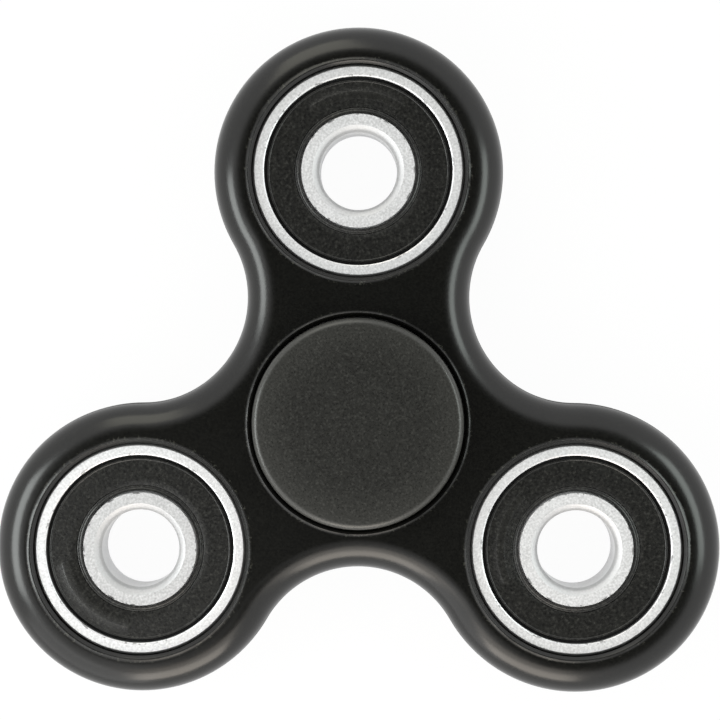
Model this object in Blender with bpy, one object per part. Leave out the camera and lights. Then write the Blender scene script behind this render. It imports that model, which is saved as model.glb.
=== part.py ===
"""Three-lobed fidget spinner, lying on its lower finger cap.

A one-piece moulded body holds four ball bearings of one standard size. The body spins on the
middle bearing, whose bore is filled by two finger caps that plug into each other. The other
three bearings are the weights in the lobes, and each of their inner rings turns freely.

Lengths are in metres and angles in degrees. +Z is up, and the origin is the middle of the
lower cap's face, on the spin axis.
"""

import math

import bmesh
import bpy

# Ball bearing, the same in the hub and in the three lobes
BEARING_OUTSIDE_DIAMETER = 0.022
BEARING_BORE_DIAMETER = 0.008
BEARING_WIDTH = 0.007
BALL_DIAMETER = 0.00397
BALL_COUNT = 7
OUTER_RING_RIM = 0.0013
OUTER_RING_CHAMFER = 0.0003
OUTER_RACE_DEPTH = 0.0009
INNER_RING_CHAMFER = 0.0006
INNER_RACE_DEPTH = 0.0006
RACE_CLEARANCE = 0.00012

# Pressed ribbon cage, two wavy halves that meet between the balls
RIBBON_THICKNESS = 0.0003
RIBBON_JOINT_GAP = 0.0001
RIBBON_SIDE_CLEARANCE = 0.00045
POCKET_CLEARANCE = 0.00012

# Rubber seal on each side of the balls
SEAL_THICKNESS = 0.0006
SEAL_STEP = 0.00025
SEAL_EDGE_BAND = 0.0003
SEAL_LIP_BAND = 0.0004
SEAL_CAGE_CLEARANCE = 0.0002
SEAL_RING_CLEARANCE = 0.0001
SEAL_LIP_CLEARANCE = 0.00015

# Moulded body
LOBE_COUNT = 3
FIRST_LOBE_ANGLE = 90.0
BODY_THICKNESS = 0.008
LOBE_WALL = 0.004
WAIST_WALL = 0.004
SEAT_WEB = 0.004
BODY_EDGE_RADIUS = 0.0032
SEAT_EDGE_RADIUS = 0.0006
SEAT_CLEARANCE = 0.00005
NARROWEST_LAND = 0.0001
CUTTER_OVERRUN = 0.001

# Finger caps
CAP_THICKNESS = 0.0021
CAP_FACE_THICKNESS = 0.0014
CAP_RIM_WALL = 0.0014
CAP_EDGE_RADIUS = 0.0008
CAP_SIDE_CLEARANCE = 0.0002
CAP_STAND_OFF = 0.0004
CAP_SEAT_GAP = 0.00005
SHOULDER_MARGIN = 0.0004
STEM_CLEARANCE = 0.00005
STEM_END_GAP = 0.0003
STEM_CHAMFER = 0.0003
PIN_DIAMETER = 0.004
PIN_LENGTH = 0.003
PIN_CLEARANCE = 0.00005
PIN_END_CLEARANCE = 0.0003

# Facets
TURN_SEGMENTS = 28
RACE_FLATS = 3
POCKET_FLATS = 5
LOBE_SEGMENTS = 24
HOLLOW_SEGMENTS = 10
EDGE_SEGMENTS = 4
CORNER_SEGMENTS = 2
BALL_SUBDIVISIONS = 2
SMOOTH_ANGLE = 35.0
MERGE_DISTANCE = 0.0000005

# Sizes that follow from those above
BEARING_RADIUS = BEARING_OUTSIDE_DIAMETER / 2
BORE_RADIUS = BEARING_BORE_DIAMETER / 2
HALF_WIDTH = BEARING_WIDTH / 2
BALL_RADIUS = BALL_DIAMETER / 2
BALL_PITCH_RADIUS = (BEARING_RADIUS + BORE_RADIUS) / 2
RACE_RADIUS = BALL_RADIUS + RACE_CLEARANCE
OUTER_SHOULDER_RADIUS = BALL_PITCH_RADIUS + RACE_RADIUS - OUTER_RACE_DEPTH
INNER_SHOULDER_RADIUS = BALL_PITCH_RADIUS - RACE_RADIUS + INNER_RACE_DEPTH
SEAL_GROOVE_RADIUS = BEARING_RADIUS - OUTER_RING_RIM
POCKET_RADIUS = BALL_RADIUS + POCKET_CLEARANCE
SEAL_INNER_FACE = POCKET_RADIUS + RIBBON_THICKNESS + SEAL_CAGE_CLEARANCE
SEAL_OUTER_FACE = SEAL_INNER_FACE + SEAL_THICKNESS

SEAT_RADIUS = BEARING_RADIUS + SEAT_CLEARANCE
LOBE_RADIUS = BEARING_RADIUS + LOBE_WALL
WAIST_RADIUS = BEARING_RADIUS + WAIST_WALL
LOBE_PITCH_RADIUS = 2 * BEARING_RADIUS + SEAT_WEB
HALF_THICKNESS = BODY_THICKNESS / 2

CAP_RADIUS = SEAT_RADIUS - CAP_SIDE_CLEARANCE
CAP_UNDERSIDE = HALF_WIDTH + CAP_STAND_OFF
CAP_FACE = CAP_UNDERSIDE + CAP_THICKNESS
STEM_RADIUS = BORE_RADIUS - STEM_CLEARANCE
STEM_END = STEM_END_GAP / 2
PIN_RADIUS = PIN_DIAMETER / 2


def lobe_angle(lobe):
    return math.radians(FIRST_LOBE_ANGLE + 360 * lobe / LOBE_COUNT)


def arc(centre, radius, start, end, segments):
    """Points along an arc about centre, both ends included. The angles are in radians."""
    steps = [start + (end - start) * i / segments for i in range(segments + 1)]
    return [(centre[0] + radius * math.cos(a), centre[1] + radius * math.sin(a)) for a in steps]


def finished_mesh(name, shape):
    """Turns a bmesh into a mesh that is shaded smooth between its sharp edges."""
    bmesh.ops.remove_doubles(shape, verts=shape.verts, dist=MERGE_DISTANCE)
    bmesh.ops.recalc_face_normals(shape, faces=shape.faces)
    mesh = bpy.data.meshes.new(name)
    shape.to_mesh(mesh)
    shape.free()
    mesh.shade_smooth()
    mesh.set_sharp_from_angle(angle=math.radians(SMOOTH_ANGLE))
    return mesh


def turned_mesh(name, profile):
    """Spins a profile of (radius, height) points about Z. It is closed unless it starts on the axis."""
    shape = bmesh.new()
    corners = [shape.verts.new((radius, 0, height)) for radius, height in profile]
    ends = list(zip(corners, corners[1:]))
    if profile[0][0] > 0:
        ends.append((corners[-1], corners[0]))
    edges = [shape.edges.new(pair) for pair in ends]
    bmesh.ops.spin(
        shape,
        geom=corners + edges,
        cent=(0, 0, 0),
        axis=(0, 0, 1),
        angle=2 * math.pi,
        steps=TURN_SEGMENTS,
        use_merge=True,
    )
    return finished_mesh(name, shape)


def material(name, colour, roughness, metallic):
    made = bpy.data.materials.new(name)
    made.use_nodes = True
    surface = made.node_tree.nodes["Principled BSDF"]
    surface.inputs["Base Color"].default_value = (*colour, 1)
    surface.inputs["Roughness"].default_value = roughness
    surface.inputs["Metallic"].default_value = metallic
    made.diffuse_color = (*colour, 1)
    return made


def add_empty(name, parent=None, location=(0, 0, 0), turn=0.0):
    empty = bpy.data.objects.new(name, None)
    bpy.context.scene.collection.objects.link(empty)
    empty.parent = parent
    empty.location = location
    empty.rotation_euler = (0, 0, turn)
    return empty


def add_piece(name, mesh, finish, parent, location=(0, 0, 0), upside_down=False):
    """Places a mesh as a named piece. Upside down means turned half round about its own X axis."""
    if finish and not mesh.materials:
        mesh.materials.append(finish)
    piece = bpy.data.objects.new(name, mesh)
    bpy.context.scene.collection.objects.link(piece)
    piece.parent = parent
    piece.location = location
    piece.rotation_euler = (math.pi if upside_down else 0, 0, 0)
    return piece


def race_points(shoulder_radius):
    """Raceway groove from its lower to its upper edge, as flats that touch the circle round the ball."""
    reach = abs(shoulder_radius - BALL_PITCH_RADIUS)
    half_sweep = math.acos(reach / RACE_RADIUS)
    step = 2 * half_sweep / RACE_FLATS
    last_touch = half_sweep - step / 2
    edge = (RACE_RADIUS - reach * math.cos(last_touch)) / math.sin(last_touch)
    corner_radius = RACE_RADIUS / math.cos(step / 2)
    corners = arc((0, 0), corner_radius, step - half_sweep, half_sweep - step, RACE_FLATS - 2)
    way = 1 if shoulder_radius > BALL_PITCH_RADIUS else -1
    groove = [(reach, -edge), *corners, (reach, edge)]
    return [(BALL_PITCH_RADIUS + way * depth, height) for depth, height in groove]


def outer_ring_mesh():
    """Ring that sits in the body, with a seal groove at each side of its raceway."""
    chamfer = OUTER_RING_CHAMFER
    groove_floor = SEAL_INNER_FACE - SEAL_RING_CLEARANCE
    race = race_points(OUTER_SHOULDER_RADIUS)
    upper_side = [
        (OUTER_SHOULDER_RADIUS, groove_floor),
        (SEAL_GROOVE_RADIUS, groove_floor),
        (SEAL_GROOVE_RADIUS, HALF_WIDTH),
        (BEARING_RADIUS - chamfer, HALF_WIDTH),
        (BEARING_RADIUS, HALF_WIDTH - chamfer),
    ]
    lower_side = [(radius, -height) for radius, height in reversed(upper_side)]
    return turned_mesh("outer_ring", race + upper_side + lower_side)


def inner_ring_mesh():
    """Ring with the bore, chamfered at both ends of the bore."""
    race = race_points(INNER_SHOULDER_RADIUS)
    upper_side = [
        (INNER_SHOULDER_RADIUS, HALF_WIDTH),
        (BORE_RADIUS + INNER_RING_CHAMFER, HALF_WIDTH),
        (BORE_RADIUS, HALF_WIDTH - INNER_RING_CHAMFER),
    ]
    lower_side = [(radius, -height) for radius, height in reversed(upper_side)]
    return turned_mesh("inner_ring", race + upper_side + lower_side)


def seal_mesh():
    """Rubber disc over the balls, with a lower band at its rim and at its lip."""
    rim = SEAL_GROOVE_RADIUS - SEAL_RING_CLEARANCE
    lip = INNER_SHOULDER_RADIUS + SEAL_LIP_CLEARANCE
    band = SEAL_OUTER_FACE - SEAL_STEP
    profile = [
        (lip, SEAL_INNER_FACE),
        (rim, SEAL_INNER_FACE),
        (rim, band),
        (rim - SEAL_EDGE_BAND, band),
        (rim - SEAL_EDGE_BAND, SEAL_OUTER_FACE),
        (lip + SEAL_LIP_BAND, SEAL_OUTER_FACE),
        (lip + SEAL_LIP_BAND, band),
        (lip, band),
    ]
    return turned_mesh("seal", profile)


def pocket_arc(radius, foot):
    """One pocket's half round as flats that touch it, as (distance along the pitch circle, height)."""
    lean = math.asin(foot / radius)
    step = (math.pi - 2 * lean) / POCKET_FLATS
    corner_radius = radius / math.cos(step / 2)
    return arc((0, 0), corner_radius, lean, math.pi - lean, POCKET_FLATS)


def cage_mesh():
    """Upper half of the cage: a flat ribbon that rises over each ball and lies flat between them."""
    inside = INNER_SHOULDER_RADIUS + RIBBON_SIDE_CLEARANCE
    outside = OUTER_SHOULDER_RADIUS - RIBBON_SIDE_CLEARANCE
    foot = RIBBON_JOINT_GAP / 2
    under = pocket_arc(POCKET_RADIUS, foot)
    over = pocket_arc(POCKET_RADIUS + RIBBON_THICKNESS, foot + RIBBON_THICKNESS)
    shape = bmesh.new()
    stations = []
    for ball in range(BALL_COUNT):
        middle = 2 * math.pi * ball / BALL_COUNT
        for low, high in zip(reversed(under), reversed(over)):
            corners = [(inside, low), (outside, low), (outside, high), (inside, high)]
            station = []
            for radius, (along, height) in corners:
                angle = middle + along / BALL_PITCH_RADIUS
                spot = (radius * math.cos(angle), radius * math.sin(angle), height)
                station.append(shape.verts.new(spot))
            stations.append(station)
    for here, there in zip(stations, stations[1:] + stations[:1]):
        for corner in range(len(here)):
            following = (corner + 1) % len(here)
            shape.faces.new((here[corner], here[following], there[following], there[corner]))
    return finished_mesh("cage_half", shape)


def ball_mesh():
    shape = bmesh.new()
    bmesh.ops.create_icosphere(shape, subdivisions=BALL_SUBDIVISIONS, radius=BALL_RADIUS)
    mesh = finished_mesh("ball", shape)
    mesh.shade_smooth()
    return mesh


def body_outline():
    """Points round the body: an arc about each lobe, and a tangent arc in each hollow between lobes."""
    pitch, lobe_radius, waist = LOBE_PITCH_RADIUS, LOBE_RADIUS, WAIST_RADIUS
    half_step = math.pi / LOBE_COUNT
    spread = 2 * math.cos(half_step)
    room = waist**2 + pitch**2 - spread * waist * pitch - lobe_radius**2
    hollow_radius = room / (spread * pitch + 2 * lobe_radius - 2 * waist)
    hollow_pitch = waist + hollow_radius
    across = hollow_pitch * math.sin(half_step)
    along = hollow_pitch * math.cos(half_step) - pitch
    half_lobe = math.atan2(across, along)
    half_hollow = half_lobe - half_step
    points = []
    for lobe in range(LOBE_COUNT):
        out = lobe_angle(lobe)
        centre = (pitch * math.cos(out), pitch * math.sin(out))
        points += arc(centre, lobe_radius, out - half_lobe, out + half_lobe, LOBE_SEGMENTS)
        out += half_step
        centre = (hollow_pitch * math.cos(out), hollow_pitch * math.sin(out))
        back = out + math.pi
        hollow = arc(centre, hollow_radius, back + half_hollow, back - half_hollow, HOLLOW_SEGMENTS)
        points += hollow[1:-1]
    return points


def add_seat_cutter(name, parent):
    """Guide that cuts one bearing seat through the body, flared to round both of its edges."""
    flare = SEAT_EDGE_RADIUS
    beyond = HALF_THICKNESS + CUTTER_OVERRUN
    centre = (SEAT_RADIUS + flare, HALF_THICKNESS - flare)
    upper_edge = arc(centre, flare, math.pi, math.pi / 2, CORNER_SEGMENTS)
    lower_edge = [(radius, -height) for radius, height in reversed(upper_edge)]
    wide = SEAT_RADIUS + flare
    profile = [(0, -beyond), (wide, -beyond), *lower_edge, *upper_edge, (wide, beyond), (0, beyond)]
    cutter = add_piece(name, turned_mesh(name, profile), None, parent)
    cutter.hide_render = True
    cutter.display_type = "WIRE"
    return cutter


def add_body(parent, finish, seat_places):
    """One-piece body: its outline raised to full thickness, rounded, and cut for the four bearings."""
    shape = bmesh.new()
    corners = [shape.verts.new((x, y, -HALF_THICKNESS)) for x, y in body_outline()]
    floor = shape.faces.new(corners)
    raised = bmesh.ops.extrude_face_region(shape, geom=[floor], use_keep_orig=True)
    top = [item for item in raised["geom"] if isinstance(item, bmesh.types.BMVert)]
    bmesh.ops.translate(shape, verts=top, vec=(0, 0, BODY_THICKNESS))
    body = add_piece("three_lobe_body", finished_mesh("three_lobe_body", shape), finish, parent)
    wall = min(LOBE_WALL, WAIST_WALL) - SEAT_CLEARANCE - SEAT_EDGE_RADIUS - NARROWEST_LAND
    rounding = body.modifiers.new("outer_rounding", "BEVEL")
    rounding.width = min(BODY_EDGE_RADIUS, wall, HALF_THICKNESS - NARROWEST_LAND)
    rounding.segments = EDGE_SEGMENTS
    rounding.limit_method = "ANGLE"
    rounding.angle_limit = math.radians(SMOOTH_ANGLE)
    rounding.use_clamp_overlap = False
    for seat in seat_places:
        cut = body.modifiers.new("cut_" + seat.name, "BOOLEAN")
        cut.operation = "DIFFERENCE"
        cut.object = add_seat_cutter("cutter_" + seat.name, seat)
    return body


def cap_profile(inside):
    """Half section of a finger cap above the middle plane, down to the end of its stem, then inside."""
    edge_centre = (CAP_RADIUS - CAP_EDGE_RADIUS, CAP_FACE - CAP_EDGE_RADIUS)
    shoulder_radius = INNER_SHOULDER_RADIUS - SHOULDER_MARGIN
    recess = CAP_FACE - CAP_FACE_THICKNESS
    seat = HALF_WIDTH + CAP_SEAT_GAP
    return [
        (0, CAP_FACE),
        *arc(edge_centre, CAP_EDGE_RADIUS, math.pi / 2, 0, CORNER_SEGMENTS + 1),
        (CAP_RADIUS, CAP_UNDERSIDE),
        (CAP_RADIUS - CAP_RIM_WALL, CAP_UNDERSIDE),
        (CAP_RADIUS - CAP_RIM_WALL, recess),
        (shoulder_radius, recess),
        (shoulder_radius, seat),
        (STEM_RADIUS, seat),
        (STEM_RADIUS, STEM_END + STEM_CHAMFER),
        (STEM_RADIUS - STEM_CHAMFER, STEM_END),
        *inside,
    ]


def add_caps(parent, finish):
    """Upper cap with a pin below its stem, and lower cap with the socket that the pin plugs into."""
    pin_end = STEM_END - PIN_LENGTH
    pin = [
        (PIN_RADIUS, STEM_END),
        (PIN_RADIUS, pin_end + STEM_CHAMFER),
        (PIN_RADIUS - STEM_CHAMFER, pin_end),
        (0, pin_end),
    ]
    socket_radius = PIN_RADIUS + PIN_CLEARANCE
    socket_floor = PIN_END_CLEARANCE - pin_end
    socket = [(socket_radius, STEM_END), (socket_radius, socket_floor), (0, socket_floor)]
    add_piece("upper_cap", turned_mesh("upper_cap", cap_profile(pin)), finish, parent)
    lower = turned_mesh("lower_cap", cap_profile(socket))
    add_piece("lower_cap", lower, finish, parent, upside_down=True)


def bearing_meshes():
    return {
        "outer_ring": outer_ring_mesh(),
        "inner_ring": inner_ring_mesh(),
        "cage": cage_mesh(),
        "seal": seal_mesh(),
        "ball": ball_mesh(),
    }


def add_bearing(name, place, meshes, finishes):
    """Rings, cage halves, seals and balls of one bearing, all about its own middle."""
    add_piece(name + "_outer_ring", meshes["outer_ring"], finishes["ring"], place)
    add_piece(name + "_inner_ring", meshes["inner_ring"], finishes["ring"], place)
    for side, upside_down in (("upper", False), ("lower", True)):
        cage_name = f"{name}_{side}_cage"
        seal_name = f"{name}_{side}_seal"
        add_piece(cage_name, meshes["cage"], finishes["cage"], place, upside_down=upside_down)
        add_piece(seal_name, meshes["seal"], finishes["seal"], place, upside_down=upside_down)
    for ball in range(BALL_COUNT):
        angle = 2 * math.pi * ball / BALL_COUNT
        spot = (BALL_PITCH_RADIUS * math.cos(angle), BALL_PITCH_RADIUS * math.sin(angle), 0)
        add_piece(f"{name}_ball_{ball + 1}", meshes["ball"], finishes["ball"], place, spot)


def main():
    for old in list(bpy.data.objects):
        bpy.data.objects.remove(old)
    finishes = {
        "body": material("black_satin_plastic", (0.012, 0.012, 0.011), 0.32, 0),
        "cap": material("dark_grained_plastic", (0.034, 0.034, 0.031), 0.6, 0),
        "ring": material("ground_steel", (0.72, 0.72, 0.71), 0.3, 1),
        "ball": material("polished_steel", (0.78, 0.78, 0.78), 0.08, 1),
        "cage": material("pressed_steel", (0.55, 0.55, 0.54), 0.35, 1),
        "seal": material("black_rubber", (0.018, 0.018, 0.017), 0.55, 0),
    }
    middle = add_empty("middle_plane", location=(0, 0, CAP_FACE))
    places = {"centre": add_empty("centre", middle)}
    for lobe in range(LOBE_COUNT):
        out = lobe_angle(lobe)
        spot = (LOBE_PITCH_RADIUS * math.cos(out), LOBE_PITCH_RADIUS * math.sin(out), 0)
        name = f"weight_{lobe + 1}"
        places[name] = add_empty(name, middle, spot, turn=out)
    add_body(middle, finishes["body"], list(places.values()))
    add_caps(middle, finishes["cap"])
    meshes = bearing_meshes()
    for name, place in places.items():
        add_bearing(name, place, meshes, finishes)


main()
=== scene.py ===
"""Dresses the fidget spinner: fine meshes, finishes, a plain white stage and a camera from above."""

import math

import bmesh
import bpy
from bpy.props import FloatProperty, FloatVectorProperty, IntProperty, PointerProperty
from bpy.types import Operator, Panel, PropertyGroup
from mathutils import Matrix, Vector


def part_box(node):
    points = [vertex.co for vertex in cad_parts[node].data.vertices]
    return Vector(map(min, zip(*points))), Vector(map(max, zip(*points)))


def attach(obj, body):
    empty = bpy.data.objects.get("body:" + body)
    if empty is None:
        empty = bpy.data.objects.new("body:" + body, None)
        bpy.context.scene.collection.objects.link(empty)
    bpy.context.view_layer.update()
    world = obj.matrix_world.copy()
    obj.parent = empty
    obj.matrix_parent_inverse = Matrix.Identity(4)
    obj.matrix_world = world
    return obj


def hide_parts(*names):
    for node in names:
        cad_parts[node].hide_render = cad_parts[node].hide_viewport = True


bl_info = {
    "name": "Fidget Spinner",
    "version": (1, 0, 0),
    "blender": (4, 5, 0),
    "location": "3D View > Sidebar > Spinner",
    "description": "Builds the body, caps and ball bearings of a three-lobed fidget spinner",
    "category": "Object",
}

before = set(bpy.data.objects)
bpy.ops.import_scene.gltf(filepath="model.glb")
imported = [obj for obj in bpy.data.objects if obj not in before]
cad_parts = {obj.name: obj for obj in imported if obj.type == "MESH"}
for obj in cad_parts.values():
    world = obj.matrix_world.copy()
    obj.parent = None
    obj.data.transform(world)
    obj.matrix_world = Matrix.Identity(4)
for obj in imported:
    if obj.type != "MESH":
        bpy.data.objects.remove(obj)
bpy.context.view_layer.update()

MM = 0.001
ORIGIN = (0, 0, 0)
UP = (0, 0, 1)
BODY_LOW, BODY_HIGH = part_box("three_lobe_body")
RING_LOW, RING_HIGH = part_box("centre_outer_ring")
RING_TOP = (RING_HIGH.z - RING_LOW.z) / 2
CAP_LOW, CAP_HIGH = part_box("upper_cap")
MIDDLE = (BODY_LOW.z + BODY_HIGH.z) / 2
LOBE_COUNT = 3
BALL_COUNT = 7
SIDES = ("upper", "lower")
WEIGHTS = [f"weight_{number + 1}" for number in range(LOBE_COUNT)]

# Drawing and shading
SELECT_MODES = {"verts": "VERT", "edges": "EDGE", "faces": "FACE"}
SMOOTH_ANGLE = math.radians(24)
EVEN_WEIGHT = 50
FLAT_WEIGHT = 100
MERGE_DISTANCE = 0.0008 * MM
START_SIZE = 1 * MM
PLACE_ATTRIBUTE = "bearing_place"
MIX_FACTOR, MIX_FIRST, MIX_SECOND, MIX_RESULT = 0, 6, 7, 2
COLOUR = {"subtype": "COLOR", "size": 3, "min": 0, "max": 1}
FINE_LENGTH = {"subtype": "DISTANCE", "precision": 6}

# Mouths of the bearing seats
FLARE_SLOPE = math.radians(47)
FLARE_CURVE = 0.2
LIP_SINK = 3
LIP_SHOULDER_WIDTH = 0.38
LIP_SHOULDER_HEIGHT = 0.56
LIP_UNEVENNESS = 0.016 * MM
LIP_SEED = 7

# Inside and edges of the finger caps
CROWN_START = 5.5 * MM
CROWN_DROP = 0.13 * MM
CROWN_STEPS = 4
RIM_STEPS = 10
CAP_WALL = 1.4 * MM
CAP_FOOT_EDGE = 0.15 * MM
CAP_INNER_EDGE = 0.1 * MM
COLLAR_RADIUS = 5.6 * MM
COLLAR_GAP = 0.05 * MM
STEM_END = 0.15 * MM
STEM_CHAMFER = 0.3 * MM
PIN_RADIUS = 2.0 * MM
PIN_END = -2.85 * MM
SOCKET_RADIUS = 2.05 * MM
SOCKET_END = 3.15 * MM
SOCKET_EDGE = 0.1 * MM

# Bearing rings, with heights from the middle plane
RACE_CLEARANCE = 0.12 * MM
RACE_STEPS = 12
OUTER_SHOULDER = 8.705 * MM
GROOVE_FLOOR = 2.505 * MM
GROOVE_WALL = 9.72 * MM
GROOVE_BREAK_DEPTH = 0.08 * MM
GROOVE_BREAK_WIDTH = 0.15 * MM
INNER_SHOULDER = 6.06 * MM
SHOULDER_TOP = 2.45 * MM
SIDE_WALL = 5.85 * MM
SIDE_FOOT = 2.6 * MM
SIDE_BREAK = 0.03 * MM
BORE_CORNER_TILT = math.radians(25)
OUTER_CORNER_TILT = math.radians(40)
CORNER_END_TILT = math.radians(87)
CORNER_STEPS = 10

# Rubber seals, with heights from the middle plane
SEAL_LIP = 6.02 * MM
SEAL_RIM = 9.7 * MM
SEAL_UNDERSIDE = 2.62 * MM
SEAL_LAND = 2.68 * MM
SEAL_FACE = 3.07 * MM
SEAL_EDGE = 0.04 * MM
EDGE_STEPS = 2
RIDGE_TOP = 3.12 * MM
RIDGE_OUTSIDE = 9.36 * MM
RIDGE_WIDTH = 0.14 * MM
RIDGE_SLOPE = 0.06 * MM
FACE_INSIDE = 6.6 * MM
LIP_RIDGES = 2
LIP_RIDGE_PITCH = 0.24 * MM
LIP_RIDGE_RISE = 0.07 * MM
LIP_RIDGE_FALL = 0.03 * MM
LIP_VALLEY = 2.93 * MM
LIP_TOP = 2.8 * MM
PAD_HALF = math.radians(36)
PAD_INSIDE = 7.35 * MM
PAD_OUTSIDE = 8.35 * MM
PAD_RISE = 0.04 * MM
PAD_SLOPES = [(0.12 * MM, PAD_RISE), (0.08 * MM, 0.01 * MM)]
UPWARD = 0.9
SEAL_TURNS = {"centre": 0, "weight_1": 92, "weight_2": 226, "weight_3": 170}

# Pressed ribbon cages
POCKET_CLEARANCE = 0.12 * MM
CAGE_INSIDE = 6.445 * MM
CAGE_OUTSIDE = 8.255 * MM
CAGE_FOOT = 0.05 * MM
CAGE_SHEET = 0.3 * MM
CAGE_EDGE_SHARE = 0.2
CAGE_EDGE_ANGLE = math.radians(60)

# Finishes, with the two radii, or heights from the middle plane, between which a soft step runs
PLASTIC = {"Metallic": 0.0, "IOR": 1.5}
STEEL = {"Metallic": 1.0}
DUST_LEVEL = 0.79
SEAT_LIP_START = (11.3 * MM, 11.4 * MM)
SEAT_LIP_END = (11.65 * MM, 11.85 * MM)
PARTING_END = (1.1 * MM, 1.7 * MM)
# Painted sheen on a cap's face towards its rim, and a painted highlight on the rim itself
CAP_SHEEN_BAND = (6 * MM, 10.4 * MM)
RIM_HIGHLIGHT_BAND = (10.1 * MM, 10.5 * MM)
RING_FACE = (RING_TOP - 0.06 * MM, RING_TOP - 0.01 * MM)
NEAR_FACE = (RING_TOP - 0.12 * MM, RING_TOP - 0.06 * MM)
BORE_END = (4.15 * MM, 4.5 * MM)
CHAMFER_END = (4.7 * MM, 4.74 * MM)
# Painted shade in the bore, a band where its chamfers meet its wall
BORE_SHADE_START = (2.3 * MM, 2.7 * MM)
BORE_SHADE_END = (3.0 * MM, 3.3 * MM)
RING_GAP = (7 * MM, 8 * MM)
GROOVE_EDGE = (9.84 * MM, 9.96 * MM)
SIDE_EDGE = (5.66 * MM, 5.76 * MM)
PAD_END = (8.4 * MM, 8.6 * MM)
SEAL_LIP_END = (6.5 * MM, 6.7 * MM)
# One inner ring gets a darker copy of the ground steel, darker everywhere but in its bore
DARKER_BEARING = "weight_2"
DARKENING = 0.115

# Stage
WHITE = (1, 1, 1, 1)
NEUTRAL = (1, 1, 1)
WARM = (1, 0.91, 0.8)
FLOOR_SIZE = 4.0
FLOOR_DROP = 0.02 * MM
WHITE_SHARE = 0.96
SEEN_RAYS = ("Is Camera Ray", "Is Glossy Ray", "Is Transmission Ray")
SENSOR_WIDTH = 36
CLIP_START = 0.01
BOX_AIM = (0, 0, 0.01)
# Each soft box: name, place, width and height, radiance, colour
SOFT_BOXES = [
    ("left_box", (-0.1, -0.008, 0.071), (0.078, 0.042), 6.25, (0.95, 1, 0.98)),
    ("right_box", (0.096, 0.009, 0.084), (0.08, 0.04), 4.0, (0.91, 1, 0.95)),
    ("near_box", (-0.003, -0.086, 0.043), (0.06, 0.034), 4.25, WARM),
    ("near_upper_box", (-0.003, -0.0715, 0.068), (0.06, 0.026), 1.6, WARM),
    ("low_left_box", (-0.052, -0.073, 0.034), (0.075, 0.052), 0.75, NEUTRAL),
    ("far_box", (-0.045, 0.15, 0.105), (0.085, 0.11), 1.46, (1, 0.97, 0.8)),
    ("dim_panel", (-0.078, -0.061, 0.124), (0.112, 0.086), 0.68, NEUTRAL),
    ("near_panel", (-0.02, -0.068, 0.15), (0.07, 0.05), 0.4, NEUTRAL),
]
TENT_OPENING = (0.07, -0.04, 1.0)
# The tent's glow, by the cosine of the angle from its opening
TENT_GLOW = [(0.0, 1.05), (0.7, 1.05), (0.8, 0.82), (0.87, 0.35), (0.92, 0.12), (0.96, 0.06), (1.0, 0.05)]


class BodySettings(PropertyGroup):
    """Sizes and finish of the moulded body."""

    thickness: FloatProperty(
        name="Thickness",
        description="Height of the body from its lower to its upper face",
        default=BODY_HIGH.z - BODY_LOW.z,
        subtype="DISTANCE",
    )
    pitch_radius: FloatProperty(
        name="Lobe pitch radius",
        description="Distance from the spin axis to the middle of a lobe",
        default=26 * MM,
        subtype="DISTANCE",
    )
    lobe_radius: FloatProperty(
        name="Lobe radius",
        description="Outside radius of a lobe",
        default=15 * MM,
        subtype="DISTANCE",
    )
    waist_radius: FloatProperty(
        name="Waist radius",
        description="Distance from the spin axis to the hollow between two lobes",
        default=15 * MM,
        subtype="DISTANCE",
    )
    edge_radius: FloatProperty(
        name="Edge radius",
        description="Rounding along the outer edges of both faces",
        default=3.2 * MM,
        subtype="DISTANCE",
    )
    seat_fit: FloatProperty(
        name="Seat fit",
        description="Gap between a bearing and the wall of its seat",
        default=0.002 * MM,
        **FINE_LENGTH,
    )
    seat_flare: FloatProperty(
        name="Seat flare",
        description="How much wider a bearing seat is at its mouth than along its wall, on each side",
        default=0.32 * MM,
        **FINE_LENGTH,
    )
    lip_height: FloatProperty(
        name="Lip height",
        description="Height of the lip round the mouth of each seat",
        default=0.1 * MM,
        **FINE_LENGTH,
    )
    lip_rise: FloatProperty(
        name="Lip rise",
        description="Width of the lip's slope towards the bearing",
        default=0.08 * MM,
        **FINE_LENGTH,
    )
    lip_fall: FloatProperty(
        name="Lip fall",
        description="Width of the lip's slope away from the bearing",
        default=0.33 * MM,
        **FINE_LENGTH,
    )
    parting_width: FloatProperty(
        name="Parting line width",
        description="Width of the fine groove where the two mould halves met",
        default=0.12 * MM,
        **FINE_LENGTH,
    )
    parting_depth: FloatProperty(
        name="Parting line depth",
        description="Depth of the fine groove where the two mould halves met",
        default=0.05 * MM,
        **FINE_LENGTH,
    )
    colour: FloatVectorProperty(
        name="Colour",
        description="Colour of the moulded plastic",
        default=(0.0038, 0.0038, 0.0031),
        **COLOUR,
    )


class CapSettings(PropertyGroup):
    """Sizes and finish of the two finger caps."""

    radius: FloatProperty(
        name="Radius",
        description="Outside radius of a cap",
        default=(CAP_HIGH.x - CAP_LOW.x) / 2,
        subtype="DISTANCE",
    )
    edge_radius: FloatProperty(
        name="Edge radius",
        description="Rounding of the rim of a cap's face",
        default=0.65 * MM,
        subtype="DISTANCE",
    )
    thickness: FloatProperty(
        name="Rim thickness",
        description="Height of a cap's rim",
        default=2.1 * MM,
        subtype="DISTANCE",
    )
    stem_radius: FloatProperty(
        name="Stem radius",
        description="Radius of the stem that plugs into the bearing's bore",
        default=3.95 * MM,
        subtype="DISTANCE",
    )
    colour: FloatVectorProperty(
        name="Colour",
        description="Colour of the grained plastic",
        default=(0.0185, 0.0185, 0.0167),
        **COLOUR,
    )


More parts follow.
